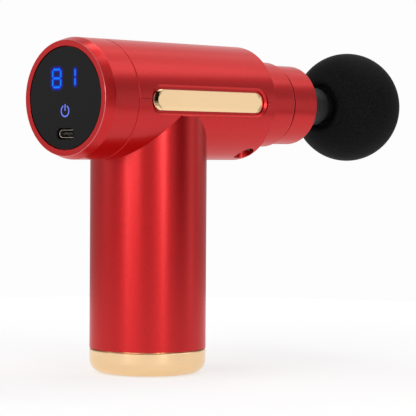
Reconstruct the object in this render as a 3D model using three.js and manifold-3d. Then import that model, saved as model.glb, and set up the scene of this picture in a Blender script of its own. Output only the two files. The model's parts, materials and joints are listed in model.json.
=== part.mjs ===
// Mini massage gun: a T-shaped percussion massager with an upright handle and a push-in ball head.
// Millimetres, +Z up. The origin is the centre of the handle's flat base. The barrel axis runs along +X
// at axisZ above it, and the motor turns about the handle's own vertical axis.
// Inside the `gun` group, heights are counted from the barrel axis, so the base lies at -axisZ.
import * as THREE from "three";
import { mergeVertices } from "three/addons/utils/BufferGeometryUtils.js";
import Module from "manifold-3d";

// ---------------------------------------------------------------- driving dimensions
const GAP = 0.3; // clearance between neighbouring pieces

// barrel shells
const BARREL_R = 24;
const BARREL_WALL = 2.8;
const BARREL_REAR_X = -29.35; // middle of the seam between the rear bezel and the shells
const BARREL_FRONT_X = 51.44;
const FRONT_WALL = 2.5;

// rear bezel and display window
const BEZEL_REAR_X = -46.7;
const BEZEL_CHAMFER = 4.35;
const BEZEL_CHAMFER_R = 1.35; // how far the chamfer runs in, down to the flat ring around the window
const PANEL_R = 20.07;
const PANEL_T = 1.8;
const PANEL_RECESS = 0.2;
const LEDGE_W = 1.9; // width of the ledge that the window rests on
const LEDGE_T = 3.9;
const SPIGOT_L = 3; // length of the bezel's spigot inside the shells
const SPIGOT_WALL = 1.4;

// handle and end cap
const HANDLE_WALL = 1.6;
const CAP_H = 9.6;
const CAP_FILLET = 5.3;
const CAP_FLOOR = 2.5;
const CAP_SPIGOT_H = 3.6;
const CAP_SPIGOT_WALL = 0.9;
const CELL_CLEARANCE = 0.9; // between the cells and the end cap's spigot
const MOTOR_SPACE = 10.6; // wiring space between the motor and the protection board

// nose
const COLLAR_R = 18.2;
const COLLAR_FRONT_X = 70.36;
const COLLAR_NECK_WALL = 2.1;
const FLANGE_W = 2.5; // how far the collar's flange reaches behind the front wall
const FLANGE_T = 4.4;
const NOSE_R = 17.03;
const NOSE_FRONT_X = 86.84;
const NOSE_LIP_T = 2.5;
const SEAL_FLANGE_T = 1.5;

// massage head
const NECK_R = 8.56;
const NECK_STEP_X = 100.2;
const NECK_STEP_H = 0.28;
const NECK_SHOULDER_X = 106;
const BALL_X = 128.1;
const BALL_R = 24.39; // across the barrel axis
const BALL_HALF_L = 23.2; // along the barrel axis
const BALL_CORE_R = 16.5; // the moulded ball is hollow around its stem
const BALL_MOUTH_R = 10;
const STEM_R = 6.6;
const STEM_END_X = 120;
const PLUG_R = 5.8;
const O_RING_T = 1.4;

// side trims
const TRIM_REAR_X = -20.5;
const TRIM_FRONT_X = 44.35;
const TRIM_LOW_Z = -4.5;
const TRIM_HIGH_Z = 3.9;
const TRIM_DEPTH = 0.6; // face of the trim below the barrel's widest line
const TRIM_T = 1;
const TRIM_MARGIN = 1.8; // width of the pocket around the trim
const POCKET_DEPTH_Y = 1.9;

// drive
const CRANK_E = 3; // eccentricity: half of the 6 mm stroke
const WRIST_X = 47.2;
const PISTON_R = 12;
const PISTON_REAR_X = 37.6;
const PISTON_FRONT_X = 76;
const PISTON_WALL = 2.4;
const SKIRT_L = 21.2;
const SOCKET_DEPTH = 15;
const LINER_WALL = 1;
const LINER_REAR_X = 37.2;
const PIN_R = 2;
const CRANK_PIN_R = 3;
const CRANK_TOP_Z = -4.2;
const CRANK_T = 4;
const CRANK_HUB_R = 8.5;
const COUNTERWEIGHT_R = 16;
const BEARING_R = 8;
const ROD_EYE_WALL = 2.2;
const ROD_T = 6;
const ROD_W = 7;

// motor (outrunner, upright)
const PLATE_TOP_Z = -9;
const PLATE_T = 2;
const PLATE_HALF_L = 24;
const BELL_R = 15.8;
const BELL_WALL = 1.2;
const BELL_TOP_Z = -12.9;
const BELL_BOTTOM_Z = -26.5;
const MAGNET_T = 1.5;
const SHAFT_R = 1.5;
const MOTOR_BEARING_R = 4;
const MOTOR_BEARING_T = 3;
const TUBE_WALL = 0.7;
const TEETH = 9;
const SCREW_X = 19.5;
const SCREW_Y = 10;

// chassis
const RAIL_T = 4.1; // thickness of the side rails at mid-height
const RAIL_Z = 9;
const CHASSIS_REAR_X = -26;
const BULKHEAD_T = 2.5;
const FLOOR_T = 2.7;
const BULKHEAD_Z = 14;

// battery
const CELL_R = 9.2;
const CELL_L = 65;
const HOLDER_T = 3;
const POCKET_DEPTH = 1.5;
const BOARD_T = 1.6;

// fasteners
const TRIM_SCREW_R = 1;
const TRIM_SCREW_HEAD_R = 1.6;
const TRIM_SCREW_Z = 2.1;
const TRIM_SCREW_INSET = 8.5; // from the trim's ends
const COLLAR_HOLE_R = 4.1;
const COLLAR_HOLE_Y = 10.4;
const COLLAR_SEAT_WALL = 0.61; // floor of the counterbore, below the collar's flange
const SCREW_R = 1.2;
const SCREW_HEAD_R = 2.2;
const SCREW_HEAD_T = 1.5;

// display parts
const DIGIT_Z = 7.7;
const KEY_Z = -5.07;
const USB_Z = -13.93;
const USB_W = 8.94;
const USB_H = 3.26;
const USB_WALL = 0.3;

// smoothness of round pieces
const SHELL_SEGMENTS = 44;
const INNER_SEGMENTS = 24;
const SMALL_SEGMENTS = 12;

// ---------------------------------------------------------------- materials
function material(color, roughness, metalness) {
  return new THREE.MeshStandardMaterial({ color, roughness, metalness });
}
const redMetal = material(0xb81820, 0.35, 1);
const gold = material(0xeccf9f, 0.15, 1);
const blackGloss = material(0x101014, 0.1, 0);
const blackPlastic = material(0x1c1c1e, 0.6, 0);
const greyPlastic = material(0x2c2d30, 0.45, 0);
const foam = material(0x1a1a1a, 0.9, 0);
const steel = material(0x9a9ca0, 0.3, 1);
const aluminium = material(0xb9bcc0, 0.4, 1);
const copper = material(0xb4693a, 0.35, 1);
const magnetGrey = material(0x4a4c50, 0.4, 1);
const rubber = material(0x161616, 0.8, 0);
const circuitGreen = material(0x14532d, 0.5, 0);
const cellWrap = material(0x2f6fb0, 0.4, 0);
const ledBlue = material(0x0a1c3c, 0.3, 0);
const redWire = material(0xc01818, 0.5, 0);
const blackWire = material(0x141414, 0.5, 0);

// ---------------------------------------------------------------- solids
const wasm = await Module();
wasm.setup();

// A closed three.js geometry as a solid for joining and cutting.
function solid(geometry) {
  const bare = geometry.clone();
  bare.deleteAttribute("normal");
  bare.deleteAttribute("uv");
  const merged = mergeVertices(bare, 1e-4);
  const triVerts = new Uint32Array(merged.index.array);
  const vertProperties = merged.attributes.position.array;
  const made = new wasm.Manifold(new wasm.Mesh({ numProp: 3, vertProperties, triVerts }));
  if (made.volume() > 0) return made;
  return new wasm.Manifold(
    new wasm.Mesh({ numProp: 3, vertProperties, triVerts: triVerts.reverse() }),
  );
}

function toGeometry(shape) {
  const mesh = shape.getMesh();
  const geometry = new THREE.BufferGeometry();
  geometry.setAttribute("position", new THREE.BufferAttribute(mesh.vertProperties, 3));
  geometry.setIndex(new THREE.BufferAttribute(mesh.triVerts, 1));
  geometry.computeVertexNormals();
  return geometry;
}

// A turned solid about Z: its closed outline is a list of [radius, height].
function turnedZ(outline, segments = INNER_SEGMENTS) {
  const points = [...outline, outline[0]].map(([r, h]) => new THREE.Vector2(r, h));
  return solid(new THREE.LatheGeometry(points, segments).rotateX(Math.PI / 2));
}

// The same about X: its closed outline is a list of [radius, x].
function turnedX(outline, segments = INNER_SEGMENTS) {
  const points = [...outline, outline[0]].map(([r, h]) => new THREE.Vector2(r, h));
  return solid(new THREE.LatheGeometry(points, segments).rotateZ(-Math.PI / 2));
}

function discZ(radius, low, high, segments) {
  return turnedZ([[0, low], [radius, low], [radius, high], [0, high]], segments);
}

function discX(radius, low, high, segments) {
  return turnedX([[0, low], [radius, low], [radius, high], [0, high]], segments);
}

function ringZ(inner, outer, low, high, segments) {
  return turnedZ([[inner, low], [outer, low], [outer, high], [inner, high]], segments);
}

function ringX(inner, outer, low, high, segments) {
  return turnedX([[inner, low], [outer, low], [outer, high], [inner, high]], segments);
}

function block(x, y, z) {
  const geometry = new THREE.BoxGeometry(x[1] - x[0], y[1] - y[0], z[1] - z[0]);
  geometry.translate((x[0] + x[1]) / 2, (y[0] + y[1]) / 2, (z[0] + z[1]) / 2);
  return solid(geometry);
}

function stadiumShape(long, high) {
  const r = high / 2;
  const half = long / 2 - r;
  const shape = new THREE.Shape();
  shape.moveTo(-half, -r);
  shape.lineTo(half, -r);
  shape.absarc(half, 0, r, -Math.PI / 2, Math.PI / 2, false);
  shape.lineTo(-half, r);
  shape.absarc(-half, 0, r, Math.PI / 2, (3 * Math.PI) / 2, false);
  return shape;
}

// A round-ended bar lying along X, from y = near to y = far on the side that `side` names.
function stadiumY(x, z, near, far, side) {
  const geometry = new THREE.ExtrudeGeometry(stadiumShape(x[1] - x[0], z[1] - z[0]), {
    depth: far - near,
    bevelEnabled: false,
    curveSegments: 8,
  });
  geometry.rotateX(Math.PI / 2);
  geometry.translate((x[0] + x[1]) / 2, side > 0 ? far : -near, (z[0] + z[1]) / 2);
  return solid(geometry);
}

// A round-ended bar across the window, width along Y, from x = near to x = far.
function stadiumX(width, height, z, near, far) {
  const geometry = new THREE.ExtrudeGeometry(stadiumShape(width, height), {
    depth: far - near,
    bevelEnabled: false,
    curveSegments: 6,
  });
  geometry.rotateX(Math.PI / 2);
  geometry.rotateZ(Math.PI / 2);
  geometry.translate(near, 0, z);
  return solid(geometry);
}

// A wire of radius r along a list of points.
function wire(points, r) {
  const path = new THREE.CurvePath();
  for (let i = 1; i < points.length; i += 1) {
    path.add(new THREE.LineCurve3(points[i - 1], points[i]));
  }
  const shape = new THREE.Shape();
  shape.absarc(0, 0, r, 0, 2 * Math.PI, false);
  const curve = points.length > 2 ? new THREE.CatmullRomCurve3(points) : path;
  return solid(
    new THREE.ExtrudeGeometry(shape, {
      steps: points.length > 2 ? 10 : 1,
      extrudePath: curve,
      curveSegments: 4,
      bevelEnabled: false,
    }),
  );
}

// ---------------------------------------------------------------- derived sizes
const cellCentreR = (CELL_R + GAP / 2) / Math.cos(Math.PI / 6);
const capInR = cellCentreR + CELL_R + CELL_CLEARANCE;
const handleInR = capInR + CAP_SPIGOT_WALL + GAP;
const handleR = handleInR + HANDLE_WALL;
const barrelInR = BARREL_R - BARREL_WALL;
const shellRearX = BARREL_REAR_X + GAP / 2;
const bezelFrontX = BARREL_REAR_X - GAP / 2;
const barrelInFrontX = BARREL_FRONT_X - FRONT_WALL;
const cellLowH = CAP_FLOOR + GAP + HOLDER_T - POCKET_DEPTH + GAP; // heights above the base
const cellTopH = cellLowH + CELL_L;
const upperHolderH = cellTopH + GAP - POCKET_DEPTH;
const protectionH = upperHolderH + HOLDER_T + GAP;
const axisZ = protectionH + BOARD_T + MOTOR_SPACE - BELL_BOTTOM_Z;
const baseZ = -axisZ;
const capTopZ = baseZ + CAP_H;
const handleLowZ = capTopZ + GAP;
const chassisR = barrelInR - GAP;
const flangeFrontX = barrelInFrontX - GAP;
const chassisFrontX = flangeFrontX - FLANGE_T - GAP;
const collarHoleX = flangeFrontX - FLANGE_T / 2;
const railInY = chassisR - RAIL_T;
const trimFaceY = BARREL_R - TRIM_DEPTH;
const pocketFloorY = BARREL_R - POCKET_DEPTH_Y;
const plateLowZ = PLATE_TOP_Z - PLATE_T;
const floorTopZ = plateLowZ - GAP;
const floorLowZ = floorTopZ - FLOOR_T;
const linerInR = PISTON_R + GAP;
const linerR = linerInR + LINER_WALL;
const guideR = linerR + GAP;
const neckHoleR = guideR + COLLAR_NECK_WALL + GAP;
const flangeR = neckHoleR + FLANGE_W;
const flangeLowZ = -Math.sqrt(flangeR ** 2 - (COLLAR_HOLE_Y - COLLAR_HOLE_R) ** 2);
const collarSeatZ = flangeLowZ - COLLAR_SEAT_WALL;
const noseWallX = NOSE_FRONT_X - NOSE_LIP_T;
const sealFlangeX = noseWallX - GAP - SEAL_FLANGE_T;
const linerFrontX = sealFlangeX - GAP;
const panelFrontX = BEZEL_REAR_X + PANEL_RECESS;
const panelRearX = panelFrontX + PANEL_T;
const ledgeX = panelRearX + GAP;
const boardSeatX = ledgeX + LEDGE_T;
const ledgeR = PANEL_R - LEDGE_W;
const displayBoardX = boardSeatX + GAP;
const trimX = [TRIM_REAR_X, TRIM_FRONT_X];
const trimZ = [TRIM_LOW_Z, TRIM_HIGH_Z];
const pocketX = [TRIM_REAR_X - TRIM_MARGIN, TRIM_FRONT_X + TRIM_MARGIN];
const pocketZ = [TRIM_LOW_Z - TRIM_MARGIN, TRIM_HIGH_Z + TRIM_MARGIN];
const trimScrews = [
  { name: "front", x: TRIM_FRONT_X - TRIM_SCREW_INSET, z: TRIM_SCREW_Z },
  { name: "rear", x: TRIM_REAR_X + TRIM_SCREW_INSET, z: -TRIM_SCREW_Z },
];
const sides = [
  { name: "left", side: 1 },
  { name: "right", side: -1 },
];
const corners = [
  { name: "front_left", x: SCREW_X, y: SCREW_Y },
  { name: "front_right", x: SCREW_X, y: -SCREW_Y },
  { name: "rear_left", x: -SCREW_X, y: SCREW_Y },
  { name: "rear_right", x: -SCREW_X, y: -SCREW_Y },
];

const model = new THREE.Group();
const gun = new THREE.Group();
gun.position.z = axisZ;
model.add(gun);

function add(name, shape, look) {
  const mesh = new THREE.Mesh(toGeometry(shape), look);
  mesh.name = name;
  gun.add(mesh);
}

// ---------------------------------------------------------------- barrel shells
// Cuts that both shells share: trim pockets, trim screw holes and the hole for the collar.
function sideCuts(shape) {
  let cut = shape;
  for (const { side } of sides) {
    cut = cut.subtract(stadiumY(pocketX, pocketZ, pocketFloorY, BARREL_R + 1, side));
    for (const screw of trimScrews) {
      const hole = discZ(TRIM_SCREW_R + GAP, railInY, BARREL_R, SMALL_SEGMENTS);
      cut = cut.subtract(hole.rotate([-90 * side, 0, 0]).translate([screw.x, 0, screw.z]));
    }
  }
  return cut.subtract(discX(neckHoleR, barrelInFrontX - 1, BARREL_FRONT_X + 1));
}

const barrelOuter = discX(BARREL_R, shellRearX, BARREL_FRONT_X, SHELL_SEGMENTS);
const barrelHollow = discX(barrelInR, shellRearX - 1, barrelInFrontX, SHELL_SEGMENTS);
const wide = [-2 * axisZ, 2 * axisZ];
const upperHalf = block(wide, wide, [GAP / 2, 2 * BARREL_R]);
const lowerHalf = block(wide, wide, [-2 * axisZ, -GAP / 2]);

add("upper_housing", sideCuts(barrelOuter.subtract(barrelHollow)).intersect(upperHalf), redMetal);

// Two bosses under the front of the barrel take the screws that lock the collar.
function collarBoss(side) {
  const flangeSpace = discX(flangeR + GAP, 0, barrelInFrontX + 1);
  return discZ(COLLAR_HOLE_R + BARREL_WALL - 1, -BARREL_R, -BULKHEAD_Z - GAP, 20)
    .translate([collarHoleX, side * COLLAR_HOLE_Y, 0])
    .subtract(flangeSpace)
    .intersect(discX(BARREL_R - BARREL_WALL / 2, 0, barrelInFrontX + 1, SHELL_SEGMENTS));
}

function collarBore(side) {
  return discZ(COLLAR_HOLE_R, -2 * BARREL_R, collarSeatZ, 24)
    .add(discZ(SCREW_R + GAP, -BARREL_R, 0, SMALL_SEGMENTS))
    .translate([collarHoleX, side * COLLAR_HOLE_Y, 0]);
}

function lowerHousing() {
  const handle = discZ(handleR, handleLowZ, -BARREL_R / 4, SHELL_SEGMENTS);
  const handleHollow = discZ(handleInR, handleLowZ - 1, -BARREL_R / 2, SHELL_SEGMENTS);
  let shape = barrelOuter.add(handle).subtract(barrelHollow).subtract(handleHollow);
  for (const { side } of sides) {
    shape = shape.add(collarBoss(side)).subtract(collarBore(side));
  }
  return sideCuts(shape).intersect(lowerHalf);
}
add("lower_housing", lowerHousing(), redMetal);

// ---------------------------------------------------------------- rear bezel and display
const bezelRing = [
  [BARREL_R - BEZEL_CHAMFER_R, BEZEL_REAR_X],
  [BARREL_R, BEZEL_REAR_X + BEZEL_CHAMFER],
  [BARREL_R, bezelFrontX],
  [chassisR, bezelFrontX],
  [chassisR, bezelFrontX + SPIGOT_L],
  [chassisR - SPIGOT_WALL, bezelFrontX + SPIGOT_L],
  [chassisR - SPIGOT_WALL, bezelFrontX - 2],
  [barrelInR, bezelFrontX - 4],
  [barrelInR, boardSeatX],
  [ledgeR, boardSeatX],
  [ledgeR, ledgeX],
  [PANEL_R + GAP, ledgeX],
  [PANEL_R + GAP, BEZEL_REAR_X],
];
const boardScrewY = (ledgeR + barrelInR) / 2;
let bezel = turnedX(bezelRing, SHELL_SEGMENTS);
for (const { side } of sides) {
  const hole = discX(TRIM_SCREW_R, boardSeatX - 2.5, boardSeatX + 1, SMALL_SEGMENTS);
  bezel = bezel.subtract(hole.translate([0, side * boardScrewY, 0]));
}
add("rear_bezel", bezel, redMetal);

const usbHoleW = USB_W + 0.66;
const usbHoleH = USB_H + 1.1;
const usbHole = stadiumX(usbHoleW, usbHoleH, USB_Z, panelFrontX - 1, panelRearX + 1);
add("display_window", discX(PANEL_R, panelFrontX, panelRearX, SHELL_SEGMENTS).subtract(usbHole), blackGloss);

const moduleX = [panelRearX + GAP, boardSeatX];
add("led_digit_module", block(moduleX, [-9.5, 9.5], [DIGIT_Z - 5.2, DIGIT_Z + 5.2]), ledBlue);
add("touch_key_pad", discX(3, moduleX[0], moduleX[1], 16).translate([0, 0, KEY_Z]), steel);

const usbRearX = boardSeatX;
const usbFrontX = panelFrontX + GAP;
const usbShell = stadiumX(USB_W, USB_H, USB_Z, usbFrontX, usbRearX).subtract(
  stadiumX(USB_W - 2 * USB_WALL, USB_H - 2 * USB_WALL, USB_Z, usbFrontX - 1, usbRearX + 1),
);
add("usb_c_shell", usbShell, steel);
const usbCore = block([usbRearX - 1.8, usbRearX], [-2.8, 2.8], [USB_Z - 0.95, USB_Z + 0.95]);
const usbTongue = block([usbFrontX + 0.5, usbRearX], [-2.8, 2.8], [USB_Z - 0.35, USB_Z + 0.35]);
add("usb_c_tongue", usbCore.add(usbTongue), blackPlastic);

let displayBoard = discX(barrelInR - GAP, displayBoardX, displayBoardX + BOARD_T, 30);
for (const { side } of sides) {
  const hole = discX(TRIM_SCREW_R, displayBoardX - 1, displayBoardX + BOARD_T + 1, SMALL_SEGMENTS);
  displayBoard = displayBoard.subtract(hole.translate([0, side * boardScrewY, 0]));
}
add("display_board", displayBoard, circuitGreen);
for (const { name, side } of sides) {
  const headX = displayBoardX + BOARD_T + GAP;
  const head = discX(TRIM_SCREW_HEAD_R - 0.2, headX, headX + 1, SMALL_SEGMENTS);
  const shank = discX(TRIM_SCREW_R - GAP, boardSeatX - 2, headX, SMALL_SEGMENTS);
  add(`display_screw_${name}`, head.add(shank).translate([0, side * boardScrewY, 0]), steel);
}

// The main board stands inside the bezel's spigot, joined to the display board by a flat cable.
const mainBoardX = bezelFrontX - 1.6;
const mainBoardR = chassisR - SPIGOT_WALL - GAP;
const mosfets = block([mainBoardX - 2, mainBoardX + 0.5], [-9, 9], [-6, -1]);
const controller = block([mainBoardX - 1.2, mainBoardX + 0.5], [-4, 4], [2, 6]);
add(
  "control_board",
  discX(mainBoardR, mainBoardX, mainBoardX + BOARD_T, 36).add(mosfets).add(controller),
  circuitGreen,
);
const cableX = [displayBoardX + BOARD_T + GAP, mainBoardX - GAP];
add("display_cable", block(cableX, [-5, 5], [9, 9.6]), blackWire);

// ---------------------------------------------------------------- chassis
const chassisX = [CHASSIS_REAR_X, chassisFrontX];
let chassis = block(chassisX, [-BARREL_R, BARREL_R], [plateLowZ + PLATE_T + GAP, RAIL_Z]).subtract(
  block([chassisX[0] - 1, chassisX[1] + 1], [-railInY, railInY], [-BARREL_R, BARREL_R]),
);
const crossWallX = PLATE_HALF_L + GAP;
chassis = chassis
  .add(block([chassisFrontX - BULKHEAD_T, chassisFrontX], [-BARREL_R, BARREL_R], [-BULKHEAD_Z, BULKHEAD_Z]))
  .add(
    block([CHASSIS_REAR_X, -crossWallX], [-BARREL_R, BARREL_R], [floorLowZ, RAIL_Z]).subtract(
      block([CHASSIS_REAR_X - 1, 0], [-railInY + 3, railInY - 3], [PLATE_TOP_Z, BARREL_R]),
    ),
  )
  .add(block([crossWallX, crossWallX + 2], [-BARREL_R, BARREL_R], [floorLowZ, CRANK_TOP_Z - CRANK_T / 2]))
  .add(block([CHASSIS_REAR_X, crossWallX + 2], [-BARREL_R, BARREL_R], [floorLowZ, floorTopZ]))
  .intersect(discX(chassisR, CHASSIS_REAR_X, chassisFrontX, SHELL_SEGMENTS))
  .subtract(discZ(BELL_R + GAP, -BARREL_R, PLATE_TOP_Z, SHELL_SEGMENTS))
  .subtract(discX(guideR, PLATE_HALF_L + 5, chassisFrontX + 1, INNER_SEGMENTS))
  .subtract(block([CHASSIS_REAR_X - 1, -BELL_R + 2], [-4, 4], [-BARREL_R, PLATE_TOP_Z]));
for (const { side } of sides) {
  for (const screw of trimScrews) {
    const hole = discZ(TRIM_SCREW_R + GAP, railInY - 1, BARREL_R, SMALL_SEGMENTS);
    chassis = chassis.subtract(hole.rotate([-90 * side, 0, 0]).translate([screw.x, 0, screw.z]));
  }
}
for (const { x, y } of corners) {
  chassis = chassis.subtract(discZ(SCREW_R + GAP, -BARREL_R, 0, SMALL_SEGMENTS).translate([x, y, 0]));
}
add("chassis", chassis, blackPlastic);

// ---------------------------------------------------------------- trims and housing screws
for (const { name, side } of sides) {
  const back = trimFaceY - TRIM_T;
  const edge = TRIM_T / 2;
  const inner = stadiumY(
    [trimX[0] + edge, trimX[1] - edge],
    [trimZ[0] + edge, trimZ[1] - edge],
    back,
    trimFaceY,
    side,
  );
  add(`trim_${name}`, stadiumY(trimX, trimZ, back, trimFaceY - edge, side).add(inner), gold);
  for (const screw of trimScrews) {
    const headTop = back - GAP / 2;
    const shape = discZ(TRIM_SCREW_HEAD_R, pocketFloorY + 0.05, headTop, SMALL_SEGMENTS)
      .add(discZ(TRIM_SCREW_R, railInY, headTop, SMALL_SEGMENTS))
      .rotate([-90 * side, 0, 0])
      .translate([screw.x, 0, screw.z]);
    add(`housing_screw_${screw.name}_${name}`, shape, steel);
  }
}

// ---------------------------------------------------------------- nose
const collarOutline = [
  [guideR, flangeFrontX - FLANGE_T],
  [flangeR, flangeFrontX - FLANGE_T],
  [flangeR, flangeFrontX],
  [neckHoleR - GAP, flangeFrontX],
  [neckHoleR - GAP, BARREL_FRONT_X + GAP],
  [COLLAR_R, BARREL_FRONT_X + GAP],
  [COLLAR_R, COLLAR_FRONT_X],
  [guideR, COLLAR_FRONT_X],
];
let collar = turnedX(collarOutline, 40);
for (const { side } of sides) {
  const hole = discZ(SCREW_R + GAP, -BARREL_R, 0, SMALL_SEGMENTS);
  collar = collar.subtract(hole.translate([collarHoleX, side * COLLAR_HOLE_Y, 0]));
}
add("front_collar", collar, redMetal);
for (const { name, side } of sides) {
  const headZ = collarSeatZ - GAP - SCREW_HEAD_T;
  const deep = -Math.sqrt(guideR ** 2 - COLLAR_HOLE_Y ** 2) - 1.5;
  const shape = discZ(SCREW_HEAD_R + 0.6, headZ, collarSeatZ - GAP, 16)
    .add(discZ(SCREW_R, headZ, deep, SMALL_SEGMENTS))
    .translate([collarHoleX, side * COLLAR_HOLE_Y, 0]);
  add(`collar_screw_${name}`, shape, blackPlastic);
}

const noseOutline = [
  [guideR, COLLAR_FRONT_X + GAP],
  [NOSE_R, COLLAR_FRONT_X + GAP],
  [NOSE_R, NOSE_FRONT_X],
  [NECK_R + 2.2, NOSE_FRONT_X],
  [NECK_R + 2.2, noseWallX],
  [guideR, noseWallX],
];
add("nose_ring", turnedX(noseOutline, 40), redMetal);
const sealOutline = [
  [NECK_R + GAP, sealFlangeX],
  [linerR, sealFlangeX],
  [linerR, sealFlangeX + SEAL_FLANGE_T],
  [NECK_R + 1.9, sealFlangeX + SEAL_FLANGE_T],
  [NECK_R + 1.9, NOSE_FRONT_X - GAP],
  [NECK_R + GAP, NOSE_FRONT_X - GAP],
];
add("nose_seal", turnedX(sealOutline), rubber);
add("cylinder_liner", ringX(linerInR, linerR, LINER_REAR_X, linerFrontX, 30), aluminium);

// ---------------------------------------------------------------- piston and connecting rod
const socketX = PISTON_FRONT_X - SOCKET_DEPTH;
const travel = 2 * CRANK_E + PIN_R + GAP;
const pistonOutline = [
  [PISTON_R - PISTON_WALL, PISTON_REAR_X],
  [PISTON_R, PISTON_REAR_X],
  [PISTON_R, PISTON_FRONT_X],
  [PLUG_R + GAP, PISTON_FRONT_X],
  [PLUG_R + GAP, socketX],
  [0, socketX],
  [0, PISTON_REAR_X + SKIRT_L],
  [PISTON_R - PISTON_WALL, PISTON_REAR_X + SKIRT_L],
];
const slotHalfY = CRANK_E + PIN_R + GAP;
const slot = block([WRIST_X - travel, WRIST_X + travel], [-slotHalfY, slotHalfY], [-BARREL_R, BARREL_R]);
add("piston", turnedX(pistonOutline, 30).subtract(slot), aluminium);

const eyeR = BEARING_R + GAP + ROD_EYE_WALL;
const smallEyeR = PIN_R + GAP + ROD_EYE_WALL + 0.6;
const rod = discZ(eyeR, -ROD_T / 2, ROD_T / 2)
  .translate([-CRANK_E, 0, 0])
  .add(discZ(smallEyeR, -ROD_T / 2, ROD_T / 2).translate([WRIST_X, 0, 0]))
  .add(block([0, WRIST_X], [-ROD_W / 2, ROD_W / 2], [-ROD_T / 2 + 0.5, ROD_T / 2 - 0.5]))
  .subtract(discZ(BEARING_R + GAP, -BARREL_R, BARREL_R).translate([-CRANK_E, 0, 0]))
  .subtract(discZ(PIN_R + GAP, -BARREL_R, BARREL_R, 20).translate([WRIST_X, 0, 0]));
add("connecting_rod", rod, aluminium);
const bearing = ringZ(CRANK_PIN_R + GAP, BEARING_R, -ROD_T / 2, ROD_T / 2);
add("crank_bearing", bearing.translate([-CRANK_E, 0, 0]), steel);
const wristHalf = PISTON_R - PISTON_WALL + 1;
add("wrist_pin", discZ(PIN_R, -wristHalf, wristHalf, 20).translate([WRIST_X, 0, 0]), steel);

// ---------------------------------------------------------------- crank and motor
const crankLowZ = CRANK_TOP_Z - CRANK_T;
const weight = discZ(COUNTERWEIGHT_R, crankLowZ, CRANK_TOP_Z, 40).intersect(
  block([0, 2 * COUNTERWEIGHT_R], [-BARREL_R, BARREL_R], [-BARREL_R, BARREL_R]),
);
const crank = discZ(CRANK_HUB_R, crankLowZ, CRANK_TOP_Z)
  .add(weight)
  .add(discZ(CRANK_PIN_R, crankLowZ, ROD_T / 2 + 1, 20).translate([-CRANK_E, 0, 0]))
  .subtract(discZ(SHAFT_R + GAP, crankLowZ - 1, CRANK_TOP_Z - 0.6, SMALL_SEGMENTS));
add("crank_counterweight", crank, steel);
add("motor_shaft", discZ(SHAFT_R, BELL_BOTTOM_Z, CRANK_TOP_Z - 0.6 - GAP, SMALL_SEGMENTS), steel);

const bellInR = BELL_R - BELL_WALL;
const bellFloorZ = BELL_BOTTOM_Z + 1.8;
const bellOutline = [
  [SHAFT_R + GAP, BELL_BOTTOM_Z],
  [BELL_R, BELL_BOTTOM_Z],
  [BELL_R, BELL_TOP_Z],
  [bellInR, BELL_TOP_Z],
  [bellInR, bellFloorZ],
  [SHAFT_R + GAP, bellFloorZ],
];
add("rotor_can", turnedZ(bellOutline, 32), steel);
const magnetR = bellInR - GAP;
add("magnet_ring", ringZ(magnetR - MAGNET_T, magnetR, bellFloorZ + GAP, BELL_TOP_Z - GAP, 32), magnetGrey);

const tubeInR = MOTOR_BEARING_R + GAP;
const tubeR = tubeInR + TUBE_WALL;
const tubeLowZ = bellFloorZ + 1;
let plate = block([-PLATE_HALF_L, PLATE_HALF_L], [-BARREL_R, BARREL_R], [plateLowZ, PLATE_TOP_Z])
  .intersect(discX(chassisR, -BARREL_R - 1, BARREL_R + 1, SHELL_SEGMENTS))
  .add(discZ(tubeR, tubeLowZ, PLATE_TOP_Z))
  .subtract(discZ(tubeInR, tubeLowZ - 1, PLATE_TOP_Z + 1));
for (const { x, y } of corners) {
  plate = plate.subtract(discZ(SCREW_R + GAP, -BARREL_R, 0, SMALL_SEGMENTS).translate([x, y, 0]));
}
add("motor_mount_plate", plate, aluminium);
for (const { name, x, y } of corners) {
  const headZ = PLATE_TOP_Z + 0.05;
  const screw = discZ(SCREW_HEAD_R, headZ, headZ + SCREW_HEAD_T, SMALL_SEGMENTS)
    .add(discZ(SCREW_R, floorLowZ, headZ + 1, SMALL_SEGMENTS))
    .translate([x, y, 0]);
  add(`motor_screw_${name}`, screw, steel);
}
const upperBearingZ = PLATE_TOP_Z - MOTOR_BEARING_T - GAP;
for (const [name, z] of [["upper", upperBearingZ], ["lower", tubeLowZ + GAP]]) {
  add(`motor_bearing_${name}`, ringZ(SHAFT_R + GAP, MOTOR_BEARING_R, z, z + MOTOR_BEARING_T), steel);
}

// The stator's laminated core: a hub on the bearing tube with one T-shaped tooth per coil.
const statorR = magnetR - MAGNET_T - 2 * GAP;
const windingT = 1.3;
const coreZ = [tubeLowZ + 1.4, BELL_TOP_Z - windingT - GAP];
let core = ringZ(tubeR + GAP, tubeR + 2, coreZ[0], coreZ[1]);
for (let i = 0; i < TEETH; i += 1) {
  const tooth = block([tubeR + 1.2, statorR - 0.8], [-1.1, 1.1], coreZ)
    .add(block([statorR - 1.8, statorR - 0.2], [-3, 3], coreZ))
    .rotate([0, 0, (360 * i) / TEETH]);
  core = core.add(tooth);
}
add("stator_core", core.intersect(discZ(statorR, coreZ[0], coreZ[1], 36)), magnetGrey);
const windingR = statorR - 0.8;
const windings = [["upper", coreZ[1] + GAP / 2], ["lower", coreZ[0] - windingT]];
for (const [name, z] of windings) {
  add(`stator_winding_${name}`, ringZ(tubeR + GAP, windingR, z, z + windingT - GAP / 2), copper);
}

const leadR = 0.55;
const motorLeadZ = (plateLowZ + BELL_TOP_Z) / 2;
for (const [i, name] of ["a", "b", "c"].entries()) {
  const y = 2.2 * (i - 1);
  const points = [
    new THREE.Vector3(mainBoardX + BOARD_T + GAP, y, motorLeadZ),
    new THREE.Vector3(-windingR + 2, y, motorLeadZ),
  ];
  add(`motor_lead_${name}`, wire(points, leadR), blackWire);
}

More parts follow.
